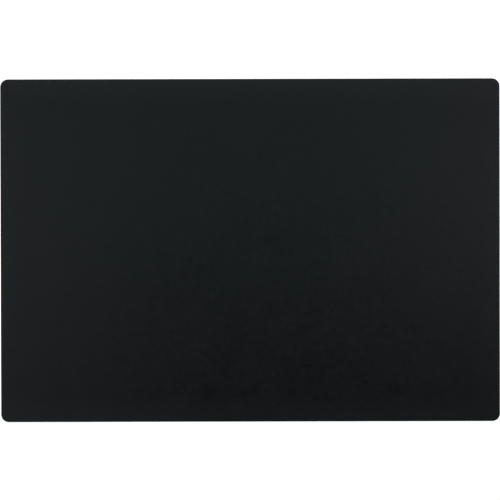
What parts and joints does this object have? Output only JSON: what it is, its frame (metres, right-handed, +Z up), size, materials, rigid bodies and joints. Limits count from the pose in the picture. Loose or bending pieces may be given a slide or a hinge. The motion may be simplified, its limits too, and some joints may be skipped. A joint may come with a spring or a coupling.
{
  "type": "self healing mat",
  "caption": "Plain black self healing cutting mat for leatherwork: a flat sheet with small rounded corners, laminated from soft and hard plastic plies.",
  "frame": {"origin": "centre of the underside, on the surface that the mat lies on", "axes": "+X along the mat's length, +Y along its width towards the far edge, +Z up out of the cutting face"},
  "size_m": [0.45, 0.309, 0.003],
  "materials": {
    "soft_pvc": "matte",
    "cushion_pvc": "matte",
    "hard_polypropylene": "satin"
  },
  "bodies": {
    "root": {"bottom_skin": "soft_pvc", "lower_core_sheet": "hard_polypropylene", "centre_cushion": "cushion_pvc", "upper_core_sheet": "hard_polypropylene", "top_skin": "soft_pvc"}
  },
  "joints": []
}
